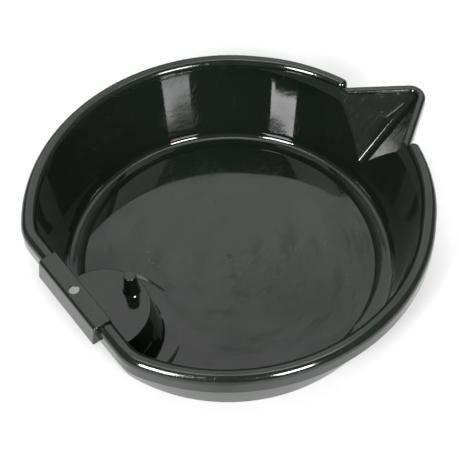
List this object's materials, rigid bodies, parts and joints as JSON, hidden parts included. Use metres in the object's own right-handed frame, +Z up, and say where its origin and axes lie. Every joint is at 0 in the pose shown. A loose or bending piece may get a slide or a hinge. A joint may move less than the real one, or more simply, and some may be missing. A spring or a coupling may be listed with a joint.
{
  "type": "oil drain pan",
  "caption": "Open moulded oil drain pan with a flat hanging grip, a raised filter stand with a hollow peg and a pointed pouring spout in its rolled rim.",
  "frame": {"origin": "centre of the round bowl, on the plane the pan stands on", "axes": "+Z up out of the bowl, +X towards the pouring spout, -X towards the hanging grip; the pan is symmetric about the XZ plane"},
  "size_m": [0.4375, 0.4, 0.101],
  "materials": {
    "black_plastic": "gloss"
  },
  "bodies": {
    "root": {"bowl_wall": "black_plastic", "filter_peg": "black_plastic", "filter_stand": "black_plastic", "handle_grip": "black_plastic", "pan_floor": "black_plastic", "rim_left": "black_plastic", "rim_right": "black_plastic", "spout_channel": "black_plastic", "spout_rim": "black_plastic"}
  },
  "joints": []
}
